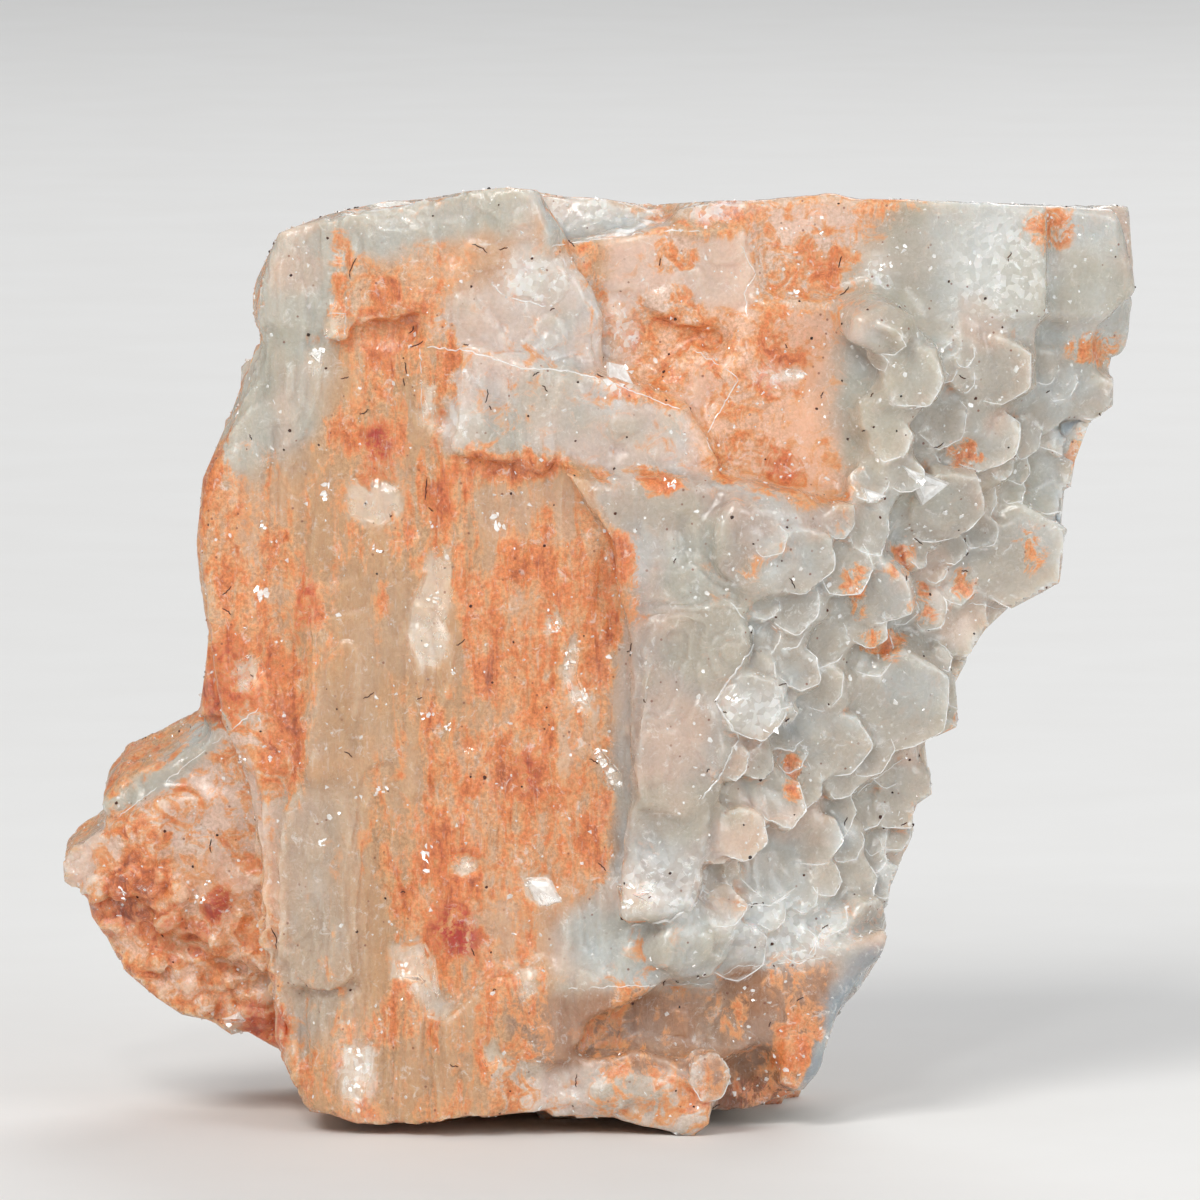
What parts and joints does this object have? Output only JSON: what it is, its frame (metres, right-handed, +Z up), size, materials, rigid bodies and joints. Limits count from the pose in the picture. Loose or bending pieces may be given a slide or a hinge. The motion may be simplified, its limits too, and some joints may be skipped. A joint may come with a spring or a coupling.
{
  "type": "apophyllite cluster",
  "caption": "Blocky cluster of milky, iron-stained apophyllite crystals, grown together in one piece, that stands on its flat broken-off base.",
  "frame": {"origin": "middle of the specimen's bounding box in plan, on the surface it stands on", "axes": "+Z up along the upright columns, +X to the viewer's right along the widest side, +Y away from the viewer of the striated front"},
  "size_m": [0.087, 0.0462, 0.0767],
  "materials": {
    "milky_apophyllite": "translucent milky stone with a vitreous lustre, stained orange by iron on the columns and pale grey-green on the flank"
  },
  "bodies": {
    "root": {"apophyllite_cluster": "milky_apophyllite"}
  },
  "joints": []
}
